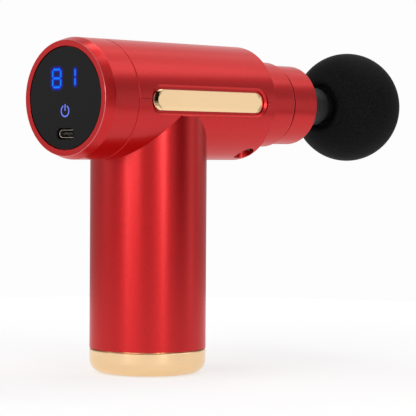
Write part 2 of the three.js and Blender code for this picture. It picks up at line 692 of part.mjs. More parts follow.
// ---------------------------------------------------------------- massage head
const neckRearX = PISTON_FRONT_X + GAP;
const plugRearX = socketX + 0.8;
const grooveR = PLUG_R - O_RING_T;
const groovesX = [plugRearX + 3.5, plugRearX + 8.5];
const grooveHalf = O_RING_T / 2 + GAP;
const stemOutline = [[0, plugRearX], [PLUG_R - 0.8, plugRearX], [PLUG_R, plugRearX + 0.8]];
for (const x of groovesX) {
  stemOutline.push([PLUG_R, x - grooveHalf], [grooveR, x - grooveHalf]);
  stemOutline.push([grooveR, x + grooveHalf], [PLUG_R, x + grooveHalf]);
}
stemOutline.push(
  [PLUG_R, neckRearX],
  [NECK_R, neckRearX],
  [NECK_R, NECK_STEP_X],
  [NECK_R - NECK_STEP_H, NECK_STEP_X + NECK_STEP_H],
  [NECK_R - NECK_STEP_H, NECK_SHOULDER_X - 2.2],
  [NECK_R - NECK_STEP_H - 0.7, NECK_SHOULDER_X - 0.6],
  [STEM_R, NECK_SHOULDER_X],
  [STEM_R, STEM_END_X],
  [0, STEM_END_X],
);
add("head_stem", turnedX(stemOutline), greyPlastic);
groovesX.forEach((x, i) => {
  const low = grooveR + GAP / 2;
  add(`o_ring_${i + 1}`, ringX(low, PLUG_R + GAP / 2, x - O_RING_T / 2, x + O_RING_T / 2), rubber);
});

// A hollow moulded ball: its outer face and its cavity are both oblate, open at the stem's socket.
function ballOutline() {
  const points = [];
  const openAngle = Math.asin(BALL_MOUTH_R / BALL_R);
  const steps = 11;
  for (let i = 0; i <= steps; i += 1) {
    const angle = openAngle + ((Math.PI - openAngle) * i) / steps;
    const x = BALL_X - BALL_HALF_L * Math.cos(angle);
    points.push([i === steps ? 0 : BALL_R * Math.sin(angle), x]);
  }
  const coreHalf = BALL_CORE_R * (BALL_HALF_L / BALL_R);
  const coreAngle = Math.asin((STEM_R + GAP) / BALL_CORE_R);
  points.push([0, BALL_X + coreHalf]);
  for (let i = 1; i <= 6; i += 1) {
    const angle = Math.PI - ((Math.PI - coreAngle) * i) / 6;
    points.push([BALL_CORE_R * Math.sin(angle), BALL_X - coreHalf * Math.cos(angle)]);
  }
  const mouthX = BALL_X - BALL_HALF_L * Math.cos(openAngle);
  points.push([STEM_R + GAP, mouthX + 2]);
  return points;
}
add("massage_ball", turnedX(ballOutline(), 32), foam);

// ---------------------------------------------------------------- battery and end cap
function capOutline() {
  const outer = [];
  for (let i = 0; i <= 4; i += 1) {
    const angle = (Math.PI / 2) * (i / 4);
    outer.push([
      handleR - CAP_FILLET + CAP_FILLET * Math.sin(angle),
      baseZ + CAP_FILLET - CAP_FILLET * Math.cos(angle),
    ]);
  }
  const spigotR = handleInR - GAP;
  return [
    [0, baseZ],
    ...outer,
    [handleR, capTopZ],
    [spigotR, capTopZ],
    [spigotR, capTopZ + CAP_SPIGOT_H],
    [capInR, capTopZ + CAP_SPIGOT_H],
    [capInR, baseZ + CAP_FLOOR],
    [0, baseZ + CAP_FLOOR],
  ];
}
add("end_cap", turnedZ(capOutline(), SHELL_SEGMENTS), gold);

const holderLowZ = baseZ + CAP_FLOOR + GAP;
const cellLowZ = baseZ + cellLowH;
const cellTopZ = baseZ + cellTopH;
const upperHolderZ = baseZ + upperHolderH;
const cellPlaces = [0, 1, 2].map((i) => {
  const angle = (2 * Math.PI * i) / 3;
  return { x: cellCentreR * Math.cos(angle), y: cellCentreR * Math.sin(angle) };
});

function cellHolder(radius, low, pocketLow, pocketHigh) {
  let holder = discZ(radius, low, low + HOLDER_T, 36);
  for (const { x, y } of cellPlaces) {
    holder = holder.subtract(discZ(CELL_R + GAP / 3, pocketLow, pocketHigh, 24).translate([x, y, 0]));
  }
  return holder.subtract(discZ(1.2, low - 1, low + HOLDER_T + 1, SMALL_SEGMENTS));
}
add(
  "cell_holder_lower",
  cellHolder(capInR - GAP, holderLowZ, cellLowZ - GAP, holderLowZ + HOLDER_T + 1),
  blackPlastic,
);
add(
  "cell_holder_upper",
  cellHolder(handleInR - GAP, upperHolderZ, upperHolderZ - 1, cellTopZ + GAP),
  blackPlastic,
);
cellPlaces.forEach(({ x, y }, i) => {
  const buttonZ = cellTopZ - 1;
  const cell = discZ(CELL_R, cellLowZ, buttonZ, 24).add(discZ(3, cellLowZ, cellTopZ, SMALL_SEGMENTS));
  add(`battery_cell_${i + 1}`, cell.translate([x, y, 0]), cellWrap);
});

const protectionZ = baseZ + protectionH;
const protectionBoard = discZ(handleInR - 3 * GAP, protectionZ, protectionZ + BOARD_T, 32)
  .add(block([-2, 6], [-10, 10], [protectionZ, protectionZ + BOARD_T + 1.5]));
add("protection_board", protectionBoard, circuitGreen);

// Battery leads leave the control board, pass under the chassis and run down beside the motor.
const leadX = -(BELL_R + handleInR) / 2;
const leadTopZ = floorLowZ - 2.2;
for (const [name, side, look] of [["positive", 1, redWire], ["negative", -1, blackWire]]) {
  const y = side * 2.4;
  const points = [
    new THREE.Vector3(mainBoardX + BOARD_T + GAP, y, leadTopZ),
    new THREE.Vector3(leadX - 5, y, leadTopZ),
    new THREE.Vector3(leadX - 1, y, leadTopZ - 1.2),
    new THREE.Vector3(leadX, y, leadTopZ - 5),
    new THREE.Vector3(leadX, y, protectionZ + BOARD_T + GAP),
  ];
  add(`battery_lead_${name}`, wire(points, 0.9), look);
}

export default model;
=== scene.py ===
import json
import math

import bmesh
import bpy
from mathutils import Matrix, Vector


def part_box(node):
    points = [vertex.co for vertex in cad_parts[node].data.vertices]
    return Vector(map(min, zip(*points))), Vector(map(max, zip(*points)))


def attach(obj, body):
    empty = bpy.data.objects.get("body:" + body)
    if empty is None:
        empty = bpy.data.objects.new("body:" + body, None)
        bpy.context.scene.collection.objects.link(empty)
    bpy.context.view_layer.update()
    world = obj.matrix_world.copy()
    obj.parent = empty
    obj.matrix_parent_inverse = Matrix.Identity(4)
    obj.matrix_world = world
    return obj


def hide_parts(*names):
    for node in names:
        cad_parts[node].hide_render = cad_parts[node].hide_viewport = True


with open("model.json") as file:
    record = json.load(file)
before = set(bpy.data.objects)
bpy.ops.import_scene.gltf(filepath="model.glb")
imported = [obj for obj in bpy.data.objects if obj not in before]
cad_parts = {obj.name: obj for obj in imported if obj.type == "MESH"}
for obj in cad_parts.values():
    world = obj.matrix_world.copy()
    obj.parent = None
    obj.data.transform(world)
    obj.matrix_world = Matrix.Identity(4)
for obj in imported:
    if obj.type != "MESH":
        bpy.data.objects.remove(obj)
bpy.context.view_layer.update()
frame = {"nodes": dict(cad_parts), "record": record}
MM = 0.001

# ---------------------------------------------------------------- places taken from the frame


def low(node):
    """The lower corner of a CAD node's box."""
    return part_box(node)[0]


def high(node):
    """The upper corner of a CAD node's box."""
    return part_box(node)[1]


BASE_Z = low("end_cap").z
TOP_Z = high("rear_bezel").z
BARREL_R = (TOP_Z - low("rear_bezel").z) / 2
AXIS_Z = TOP_Z - BARREL_R
AXIS = Vector((0, 0, AXIS_Z))
REAR_X = low("rear_bezel").x
SHELL_REAR_X = low("upper_housing").x
SHELL_FRONT_X = high("upper_housing").x
WALL = 2.8 * MM
RUNNING_GAP = 0.3 * MM  # between pieces that pass or seat in each other
FAR = 0.1  # well beyond the object, for cutting tools
WINDOW_R = high("display_window").y
WINDOW_X = low("display_window").x
HANDLE_R = high("end_cap").x
HANDLE_LOW_Z = low("lower_housing").z
COLLAR_R = 18.2 * MM
COLLAR_FRONT_X = high("front_collar").x
NOSE_R = high("nose_ring").y
NOSE_REAR_X = low("nose_ring").x
NOSE_FRONT_X = high("nose_ring").x
BALL_LOW = low("massage_ball")
BALL_HIGH = high("massage_ball")
BALL_R = (BALL_HIGH.z - BALL_LOW.z) / 2

# ---------------------------------------------------------------- mesh helpers


def filleted(corners, steps=5):
    """A closed outline of (r, h, fillet) corners, each corner rounded by its own fillet."""
    points = []
    count = len(corners)
    for i, (r, h, fillet) in enumerate(corners):
        here = Vector((r, h))
        before = Vector(corners[i - 1][:2])
        after = Vector(corners[(i + 1) % count][:2])
        if fillet <= 0:
            points.append(tuple(here))
            continue
        a = (before - here).normalized()
        b = (after - here).normalized()
        half = a.angle(b) / 2
        reach = fillet / math.tan(half)
        centre = here + (a + b).normalized() * (fillet / math.sin(half))
        start = here + a * reach - centre
        end = here + b * reach - centre
        turn = start.angle_signed(end)
        for k in range(steps + 1):
            spun = Matrix.Rotation(-turn * k / steps, 2) @ start
            points.append(tuple(centre + spun))
    return points


def mesh_object(name, verts, faces):
    mesh = bpy.data.meshes.new(name)
    mesh.from_pydata([tuple(v) for v in verts], [], faces)
    mesh.validate()
    obj = bpy.data.objects.new(name, mesh)
    bpy.context.scene.collection.objects.link(obj)
    fix = bmesh.new()
    fix.from_mesh(mesh)
    bmesh.ops.recalc_face_normals(fix, faces=fix.faces)
    fix.to_mesh(mesh)
    fix.free()
    return obj


def placed(axis, r, h, angle):
    """A point at radius r and height h about the barrel's or the handle's axis."""
    c, s = r * math.cos(angle), r * math.sin(angle)
    if axis == "x":
        return Vector((h, c, AXIS_Z + s))
    return Vector((c, s, h))


def turned(name, outline, axis="x", segments=160, centre=(0, 0, 0)):
    """A turned piece from a closed outline of (radius, height) points."""
    verts, rings = [], []
    for r, h in outline:
        if r < 1e-7:
            rings.append([len(verts)])
            verts.append(placed(axis, 0, h, 0) + Vector(centre))
            continue
        start = len(verts)
        rings.append([start + k for k in range(segments)])
        for k in range(segments):
            verts.append(placed(axis, r, h, 2 * math.pi * k / segments) + Vector(centre))
    faces = []
    for i, ring in enumerate(rings):
        other = rings[(i + 1) % len(rings)]
        if len(ring) == 1 and len(other) == 1:
            continue
        for k in range(segments):
            n = (k + 1) % segments
            if len(ring) == 1:
                faces.append((ring[0], other[k], other[n]))
            elif len(other) == 1:
                faces.append((ring[k], other[0], ring[n]))
            else:
                faces.append((ring[k], other[k], other[n], ring[n]))
    return mesh_object(name, verts, faces)


def stadium(long, tall, steps=20):
    """The outline of a round-ended bar, centred on the origin."""
    r = tall / 2
    half = long / 2 - r
    points = []
    for side in (1, -1):
        for k in range(steps + 1):
            angle = -math.pi / 2 + math.pi * k / steps
            points.append((side * (half + r * math.cos(angle)), side * r * math.sin(angle)))
    return points


def stacked(name, loops, tube=False):
    """A closed skin through equal loops of points: capped at both ends, or a tube whose last loop
    is joined back to its first."""
    verts = [p for loop in loops for p in loop]
    n = len(loops[0])
    last = n * (len(loops) - 1)
    faces = [] if tube else [tuple(range(n)), tuple(range(last, last + n))]
    for i in range(len(loops) if tube else len(loops) - 1):
        j = (i + 1) % len(loops)
        for k in range(n):
            m = (k + 1) % n
            faces.append((i * n + k, i * n + m, j * n + m, j * n + k))
    return mesh_object(name, verts, faces)


def box_tool(x, y, z):
    corners = [[Vector((a, b, c)) for a, b in ((x[0], y[0]), (x[1], y[0]), (x[1], y[1]), (x[0], y[1]))]
               for c in z]
    return stacked("box_tool", corners)


def combine(obj, tool, operation):
    """Joins, cuts or keeps what is common with another closed mesh, which is then removed."""
    modifier = obj.modifiers.new("combine", "BOOLEAN")
    modifier.operation = operation
    modifier.solver = "EXACT"
    modifier.object = tool
    bpy.context.view_layer.update()
    graph = bpy.context.evaluated_depsgraph_get()
    made = bpy.data.meshes.new_from_object(obj.evaluated_get(graph))
    obj.modifiers.remove(modifier)
    obj.data = made
    bpy.data.objects.remove(tool)
    return obj


def cut(obj, tool):
    return combine(obj, tool, "DIFFERENCE")


def join(obj, tool):
    return combine(obj, tool, "UNION")


def keep(obj, tool):
    return combine(obj, tool, "INTERSECT")


def smooth(obj, angle=32):
    """Smooth shading that keeps flat faces flat and creases sharp."""
    mesh = obj.data
    mesh.shade_smooth()
    mesh.set_sharp_from_angle(angle=math.radians(angle))
    weighted = obj.modifiers.new("weighted", "WEIGHTED_NORMAL")
    weighted.keep_sharp = True
    return obj


def round_normals(obj, cylinders, angle=32):
    """Shades a cut shell as true cylinders: each face whose corners all lie on one gets its radial
    normals, however the cuts have split it. A cylinder is (axis, radius)."""
    mesh = obj.data
    mesh.shade_smooth()
    mesh.set_sharp_from_angle(angle=math.radians(angle))
    normals = [Vector(n.vector) for n in mesh.corner_normals]
    for face in mesh.polygons:
        for axis, radius in cylinders:
            flat = (0, 1, 1) if axis == "x" else (1, 1, 0)
            centre = AXIS if axis == "x" else Vector()
            arms = [(mesh.vertices[v].co - centre) * Vector(flat) for v in face.vertices]
            if any(abs(arm.length - radius) > 0.004 * MM for arm in arms):
                continue
            side = 1 if face.normal.dot(arms[0]) > 0 else -1
            for loop, arm in zip(face.loop_indices, arms):
                normals[loop] = arm.normalized() * side
    mesh.normals_split_custom_set(normals)
    return obj


def painted_edge_highlight(obj, x, radii):
    """Gives the faces of a turned edge within x (centre, reach) and radii a lighter red: a painted
    highlight along the edge.
    """
    obj.data.materials.append(EDGE_HIGHLIGHT_PAINT)
    for face in obj.data.polygons:
        away = face.center - AXIS
        r = math.hypot(away.y, away.z)
        if abs(away.x - x[0]) < x[1] and radii[0] < r < radii[1]:
            face.material_index = 1
    return obj


def finish_piece(obj, body, material, replaced=(), angle=32, cylinders=()):
    """Shades a piece, gives it its material and body, and hides the CAD nodes it replaces."""
    if cylinders:
        round_normals(obj, cylinders, angle)
    else:
        smooth(obj, angle)
    obj.data.materials.clear()
    obj.data.materials.append(material)
    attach(obj, body)
    if replaced:
        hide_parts(*replaced)
    return obj


# ---------------------------------------------------------------- materials


class Nodes:
    """A node material in the making, with its shader and object coordinates ready."""

    def __init__(self, name):
        self.material = bpy.data.materials.new(name)
        self.material.use_nodes = True
        self.tree = self.material.node_tree
        self.shader = self.tree.nodes["Principled BSDF"]
        self.place = self.add("ShaderNodeTexCoord").outputs["Object"]

    def add(self, kind, **settings):
        node = self.tree.nodes.new(kind)
        for key, value in settings.items():
            setattr(node, key, value)
        return node

    def link(self, a, b):
        self.tree.links.new(a, b)

    def noise(self, scale, detail=3.0, roughness=0.5, stretch=None):
        node = self.add("ShaderNodeTexNoise")
        node.inputs["Scale"].default_value = scale
        node.inputs["Detail"].default_value = detail
        node.inputs["Roughness"].default_value = roughness
        place = self.place
        if stretch:
            mapping = self.add("ShaderNodeMapping")
            mapping.inputs["Scale"].default_value = stretch
            self.link(place, mapping.inputs["Vector"])
            place = mapping.outputs["Vector"]
        self.link(place, node.inputs["Vector"])
        return node.outputs["Fac"]

    def ramp(self, value, first, last, start=0.0, end=1.0):
        """The value's way from start to end, told as a way from first to last."""
        node = self.add("ShaderNodeMapRange")
        node.inputs["From Min"].default_value = start
        node.inputs["From Max"].default_value = end
        node.inputs["To Min"].default_value = first
        node.inputs["To Max"].default_value = last
        self.link(value, node.inputs["Value"])
        return node.outputs["Result"]

    def tint(self, value, dark, light):
        node = self.add("ShaderNodeMix", data_type="RGBA")
        node.inputs["A"].default_value = (*dark, 1)
        node.inputs["B"].default_value = (*light, 1)
        self.link(value, node.inputs["Factor"])
        return node.outputs["Result"]

    def bump(self, height, strength, distance):
        node = self.add("ShaderNodeBump")
        node.inputs["Strength"].default_value = strength
        node.inputs["Distance"].default_value = distance
        self.link(height, node.inputs["Height"])
        self.link(node.outputs["Normal"], self.shader.inputs["Normal"])


def shade(color, k):
    """The colour made k times as bright."""
    return tuple(min(1, c * k) for c in color)


def surface(name, color, roughness, metallic=0.0, grain=2500, spread=0.06, relief=0.02,
            varied=0.04, stretch=None, **sockets):
    """A finish with fine grain: its colour, its roughness and its relief all vary with it."""
    nodes = Nodes(name)
    shader = nodes.shader
    shader.inputs["Metallic"].default_value = metallic
    fine = nodes.noise(grain, 4, 0.6, stretch)
    broad = nodes.noise(grain / 60, 2)
    nodes.link(nodes.tint(nodes.ramp(fine, 0, 1, 0.35, 0.65), shade(color, 1 - spread),
                          shade(color, 1 + spread)), shader.inputs["Base Color"])
    nodes.link(nodes.ramp(broad, roughness - varied, roughness + varied, 0.3, 0.7),
               shader.inputs["Roughness"])
    nodes.bump(fine, relief, 0.05 * MM)
    for key, value in sockets.items():
        shader.inputs[key.replace("_", " ")].default_value = value
    return nodes.material


RED = surface("red_anodised", (0.56, 0.0045, 0.0065), 0.33, 1.0, 1900, 0.09, 0.15, 0.015,
              Coat_Weight=0.6, Coat_Roughness=0.24,
              Specular_Tint=(0.85, 0.35, 0.35, 1))
# A lighter red for narrow bands along the rims: a painted highlight.
EDGE_HIGHLIGHT_PAINT = surface("painted_edge_highlight", (0.7, 0.17, 0.18), 0.34, 1.0, 2400, 0.05, 0.05)
GOLD = surface("gold_polished", (0.90, 0.64, 0.37), 0.13, 1.0, 900, 0.015, 0.01, 0.015)
FOAM = surface("ball_foam", (0.0064, 0.0065, 0.0066), 0.62, 0.0, 1500, 0.55, 0.5, 0.05,
               Specular_IOR_Level=0.04)
GREY_PLASTIC = surface("grey_plastic", (0.009, 0.0094, 0.0105), 0.4, 0.0, 3000, 0.08, 0.1,
                       Specular_IOR_Level=0.36)
BLACK_PLASTIC = surface("black_plastic", (0.012, 0.012, 0.013), 0.5, 0.0, 3000, 0.1, 0.15)
RUBBER = surface("rubber_seal", (0.01, 0.01, 0.01), 0.7, 0.0, 2500, 0.1, 0.1)
STEEL = surface("steel", (0.52, 0.53, 0.55), 0.3, 1.0, 1800, 0.06, 0.06)
PORT_STEEL = surface("port_steel", (0.62, 0.54, 0.47), 0.35, 1.0, 1800, 0.06, 0.06)
ALUMINIUM = surface("aluminium", (0.6, 0.61, 0.63), 0.34, 1.0, 1500, 0.05, 0.08, stretch=(1, 8, 8))
COPPER = surface("copper_winding", (0.62, 0.24, 0.1), 0.35, 1.0, 2600, 0.2, 0.3)
IRON = surface("magnet_iron", (0.12, 0.12, 0.13), 0.4, 1.0, 1500, 0.1, 0.08)
BOARD = surface("circuit_board", (0.008, 0.09, 0.035), 0.4, 0.0, 500, 0.25, 0.05)
CELL = surface("cell_wrap", (0.02, 0.13, 0.4), 0.3, 0.0, 400, 0.05, 0.01)
MODULE = surface("led_blue", (0.01, 0.02, 0.06), 0.4, 0.0, 900, 0.1, 0.05)
RED_WIRE = surface("red_wire", (0.5, 0.01, 0.01), 0.45, 0.0, 1500, 0.05, 0.05)
BLACK_WIRE = surface("black_wire", (0.01, 0.01, 0.01), 0.45, 0.0, 1500, 0.05, 0.05)


# Seven-segment digits: each stroke is a thin hexagonal bar that lies on the window.
DIGIT_TALL = 8.05 * MM
DIGIT_WIDE = 5.7 * MM
DIGIT_Z = AXIS_Z + 7.7 * MM
STROKE = 1.15 * MM
DIGITS = (("digit_left", -4.8 * MM, 0, "abcdefg"), ("digit_right", 3.35 * MM, 0.3 * MM, "bc"))


def digit_strokes(u, v, lit):
    """(key, left, up, is upright, length) of each lit stroke of the digit centred on u, v."""
    w, h = (DIGIT_WIDE - STROKE) / 2, (DIGIT_TALL - STROKE) / 2
    every = (("a", u, h, False, 2 * w), ("g", u, 0, False, 2 * w), ("d", u, -h, False, 2 * w),
             ("f", u - w, h / 2, True, h), ("b", u + w, h / 2, True, h),
             ("e", u - w, -h / 2, True, h), ("c", u + w, -h / 2, True, h))
    return [(key, left, DIGIT_Z + v + up, upright, length - 0.25 * MM)
            for key, left, up, upright, length in every if key in lit]


def stroke_distance(nodes):
    """How far a point of the panel lies from the middle line of the nearest lit stroke."""

    def vector(operation, a, value=None):
        node = nodes.add("ShaderNodeVectorMath", operation=operation)
        nodes.link(a, node.inputs[0])
        if value:
            node.inputs[1].default_value = value
        return node.outputs["Value" if operation == "LENGTH" else "Vector"]

    flat = vector("MULTIPLY", nodes.place, (0, 1, 1))
    nearest = None
    for name, u, v, lit in DIGITS:
        for key, left, up, upright, length in digit_strokes(u, v, lit):
            half = (length - STROKE) / 2
            reach = (0, 0, half) if upright else (0, half, 0)
            apart = vector("ABSOLUTE", vector("SUBTRACT", flat, (0, -left, up)))
            apart = vector("LENGTH", vector("MAXIMUM", vector("SUBTRACT", apart, reach), (0, 0, 0)))
            if nearest is None:
                nearest = apart
                continue
            least = nodes.add("ShaderNodeMath", operation="MINIMUM")
            nodes.link(nearest, least.inputs[0])
            nodes.link(apart, least.inputs[1])
            nearest = least.outputs["Value"]
    return nearest


def window_material():
    """Smoked black glass, with a blue glow round the lit strokes behind it."""
    nodes = Nodes("window_black")
    shader = nodes.shader
    fine = nodes.noise(700, 4, 0.6)
    nodes.link(nodes.tint(fine, (0.0028, 0.0028, 0.003), (0.0036, 0.0036, 0.004)),
               shader.inputs["Base Color"])
    nodes.link(nodes.ramp(fine, 0.18, 0.24), shader.inputs["Roughness"])
    shader.inputs["Specular IOR Level"].default_value = 0.14
    shader.inputs["Emission Color"].default_value = (0.0, 0.008, 0.75, 1)
    fade = nodes.ramp(stroke_distance(nodes), 1, 0, 0.1 * MM, 2.0 * MM)
    power = nodes.add("ShaderNodeMath", operation="POWER")
    nodes.link(fade, power.inputs[0])
    power.inputs[1].default_value = 2.4
    nodes.link(power.outputs["Value"], shader.inputs["Emission Strength"])
    return nodes.material


def digit_material():
    """A lit stroke: azure along its middle, deep blue at its edges."""
    nodes = Nodes("digit_lit")
    nodes.shader.inputs["Base Color"].default_value = (0, 0, 0, 1)
    nodes.shader.inputs["Roughness"].default_value = 0.3
    nodes.shader.inputs["Specular IOR Level"].default_value = 0.1
    edge = nodes.ramp(stroke_distance(nodes), 0, 1, 0.12 * MM, 0.55 * MM)
    nodes.link(nodes.tint(edge, (0.0, 0.22, 1.0), (0.0, 0.02, 0.72)),
               nodes.shader.inputs["Emission Color"])
    nodes.shader.inputs["Emission Strength"].default_value = 1.0
    return nodes.material


def key_material():
    """The lit power symbol, a little uneven as light through a printed mark is."""
    nodes = Nodes("key_lit")
    fine = nodes.noise(900, 2)
    nodes.shader.inputs["Base Color"].default_value = (0, 0, 0, 1)
    nodes.shader.inputs["Roughness"].default_value = 0.3
    nodes.link(nodes.tint(fine, (0.12, 0.17, 0.85), (0.17, 0.24, 1.0)),
               nodes.shader.inputs["Emission Color"])
    nodes.shader.inputs["Emission Strength"].default_value = 1.0
    return nodes.material


GOLD_SATIN = surface("gold_satin", (0.92, 0.65, 0.37), 0.25, 1.0, 1900, 0.03, 0.05, 0.015)
WINDOW = window_material()
DIGIT_LIT = digit_material()
KEY_LIT = key_material()

SLOT_LOOKS = {
    "red_anodised": RED, "gold_trim": GOLD, "window_black": WINDOW, "black_plastic": BLACK_PLASTIC,
    "grey_plastic": GREY_PLASTIC, "ball_foam": FOAM, "steel": STEEL, "aluminium": ALUMINIUM,
    "copper_winding": COPPER, "magnet_iron": IRON, "rubber_seal": RUBBER, "circuit_board": BOARD,
    "cell_wrap": CELL, "led_blue": MODULE, "red_wire": RED_WIRE, "black_wire": BLACK_WIRE,
}

# ---------------------------------------------------------------- barrel and handle shells

EDGE = 0.35 * MM  # rounding of the machined edges
SEAM = 0.1 * MM  # what is left open between two shells
TRIM_LOW = low("trim_right")
TRIM_HIGH = high("trim_right")
TRIM_LONG = TRIM_HIGH.x - TRIM_LOW.x
TRIM_TALL = TRIM_HIGH.z - TRIM_LOW.z
TRIM_X = (TRIM_HIGH.x + TRIM_LOW.x) / 2
TRIM_Z = (TRIM_HIGH.z + TRIM_LOW.z) / 2
TRIM_FACE = -TRIM_LOW.y
POCKET_FLOOR = BARREL_R - 1.9 * MM
HOLE_X = (low("collar_screw_right").x + high("collar_screw_right").x) / 2
HOLE_Y = 10.4 * MM
HOLE_R = 4.1 * MM
HOLE_FLOOR_Z = high("collar_screw_right").z - 7.74 * MM


def side_loop(side, depth, ends, sides=None):
    """The trim's outline in the plane |y| = depth, grown at its ends and at its long sides."""
    sides = ends if sides is None else sides
    return [Vector((TRIM_X + u, side * depth, TRIM_Z + v))
            for u, v in stadium(TRIM_LONG + 2 * ends, TRIM_TALL + 2 * sides)]


def pocket_tool(side):
    """The pocket that a trim lies in: (|y|, how far it is grown round the trim in mm)."""
    steps = ((POCKET_FLOOR, 0.85), (POCKET_FLOOR + 0.55 * MM, 0.9), (POCKET_FLOOR + 0.65 * MM, 1.0),
             (POCKET_FLOOR + 0.85 * MM, 1.4), (POCKET_FLOOR + 1.05 * MM, 1.62),
             (POCKET_FLOOR + 1.25 * MM, 1.95), (BARREL_R + MM, 2.05))
    return stacked("pocket_tool", [side_loop(side, y, m * MM) for y, m in steps])


def barrel_tube(name):
    inner = BARREL_R - WALL
    wall_x = SHELL_FRONT_X - 2.5 * MM
    neck = 16 * MM
    return turned(name, filleted([
        (BARREL_R, SHELL_REAR_X - 0.1 * MM, EDGE), (BARREL_R, SHELL_FRONT_X, 0.6 * MM),
        (neck, SHELL_FRONT_X, EDGE), (neck, wall_x, 0), (inner, wall_x, 0),
        (inner, SHELL_REAR_X - 0.1 * MM, 0),
    ]), "x", 224)


def screw_bore(side):
    """The counterbore that the collar screw is reached through."""
    bottom = AXIS_Z - 1.2 * BARREL_R
    outline = [(0, bottom), (HOLE_R, bottom), (HOLE_R, HOLE_FLOOR_Z), (1.5 * MM, HOLE_FLOOR_Z),
               (1.5 * MM, AXIS_Z - 10 * MM), (0, AXIS_Z - 10 * MM)]
    return turned("bore", outline, "z", 64, (HOLE_X, side * HOLE_Y, 0))


def screw_boss(side):
    """The boss round the counterbore, trimmed to the inside of the barrel's wall."""
    bottom, top, r = AXIS_Z - BARREL_R, HOLE_FLOOR_Z + 0.6 * MM, 5.9 * MM
    boss = turned("boss", [(0, bottom), (r, bottom), (r, top), (0, top)], "z", 48,
                  (HOLE_X, side * HOLE_Y, 0))
    skin = BARREL_R - MM
    ends = HOLE_X - 8 * MM, SHELL_FRONT_X - MM
    return keep(boss, turned("skin", [(0, ends[0]), (skin, ends[0]), (skin, ends[1]), (0, ends[1])],
                             "x", 96))


def make_upper_shell():
    shell = barrel_tube("upper_shell")
    for side in (1, -1):
        cut(shell, pocket_tool(side))
    wide = (-FAR, FAR)
    keep(shell, box_tool(wide, wide, (AXIS_Z + SEAM / 2, AXIS_Z + 0.05)))
    return finish_piece(shell, "housing", RED, ["upper_housing"],
                        cylinders=[("x", BARREL_R)])


def make_lower_shell():
    shell = barrel_tube("lower_shell")
    handle_in = HANDLE_R - 1.6 * MM
    top = AXIS_Z - 6 * MM
    handle = turned("handle_outside", filleted([
        (0, HANDLE_LOW_Z, 0), (HANDLE_R, HANDLE_LOW_Z, EDGE), (HANDLE_R, top, 0), (0, top, 0),
    ]), "z", 224)
    join(shell, handle)
    hollow = BARREL_R - WALL
    reach = SHELL_REAR_X - MM, HOLE_X - 8 * MM
    cut(shell, turned("inside", [(0, reach[0]), (hollow, reach[0]), (hollow, reach[1]), (0, reach[1])],
                      "x", 160))
    cut(shell, turned("handle_inside", [
        (0, HANDLE_LOW_Z - MM), (handle_in, HANDLE_LOW_Z - MM), (handle_in, AXIS_Z - 12 * MM),
        (0, AXIS_Z - 12 * MM),
    ], "z", 160))
    for side in (1, -1):
        join(shell, screw_boss(side))
        cut(shell, screw_bore(side))
        cut(shell, pocket_tool(side))
    wide = (-FAR, FAR)
    keep(shell, box_tool(wide, wide, (BASE_Z - 0.01, AXIS_Z - SEAM / 2)))
    return finish_piece(shell, "housing", RED, ["lower_housing"],
                        cylinders=[("x", BARREL_R), ("z", HANDLE_R)])


# ---------------------------------------------------------------- rear bezel, window and port


def make_bezel():
    seam_x = SHELL_REAR_X - 0.2 * MM
    rim = BARREL_R - 1.35 * MM
    window = WINDOW_R + RUNNING_GAP
    ledge_x = high("display_window").x + RUNNING_GAP
    spigot = BARREL_R - WALL - RUNNING_GAP
    inside = spigot - 1.4 * MM
    ledge_r = WINDOW_R - 1.9 * MM
    outline = filleted([
        (rim - 0.08 * MM, REAR_X, 0), (rim + 0.1 * MM, REAR_X + 0.22 * MM, 0),
        (BARREL_R, REAR_X + 4.35 * MM, 1.2 * MM), (BARREL_R, seam_x, EDGE),
        (spigot, seam_x, 0), (spigot, seam_x + 3 * MM, 0), (inside, seam_x + 3 * MM, 0),
        (inside, seam_x - 6 * MM, 0), (ledge_r, seam_x - 8 * MM, 0), (ledge_r, ledge_x, 0),
        (window, ledge_x, 0), (window, REAR_X, 0.15 * MM),
    ])
    bezel = finish_piece(turned("rear_cap", outline, "x", 224), "housing", RED,
                         ["rear_bezel"])
    # The narrow band at the rim's outer edge gets the painted highlight.
    return painted_edge_highlight(bezel, (REAR_X + 0.11 * MM, 0.06 * MM), (rim - 0.07 * MM, rim + 0.09 * MM))


USB_Z = (low("usb_c_shell").z + high("usb_c_shell").z) / 2
USB_WIDE = high("usb_c_shell").y - low("usb_c_shell").y
USB_TALL = high("usb_c_shell").z - low("usb_c_shell").z


def rear_loop(x, long, tall):
    """A round-ended outline about the USB-C socket's axis, in the plane x."""
    return [Vector((x, u, USB_Z + v)) for u, v in stadium(long, tall)]


def make_window():
    back = high("display_window").x
    outline = filleted([
        (0, WINDOW_X, 0), (WINDOW_R, WINDOW_X, 0.25 * MM), (WINDOW_R, back, 0), (0, back, 0),
    ])
    glass = turned("window_glass", outline, "x", 192)
    grow = 0.45 * MM
    loops = [rear_loop(WINDOW_X - MM, USB_WIDE + 4 * grow, USB_TALL + 4 * grow),
             rear_loop(WINDOW_X - 0.02 * MM, USB_WIDE + 3 * grow, USB_TALL + 3 * grow),
             rear_loop(WINDOW_X + 0.3 * MM, USB_WIDE + 2 * grow, USB_TALL + 2 * grow),
             rear_loop(back + MM, USB_WIDE + 2 * grow, USB_TALL + 2 * grow)]
    cut(glass, stacked("port_tool", loops))
    return finish_piece(glass, "housing", WINDOW, ["display_window"])


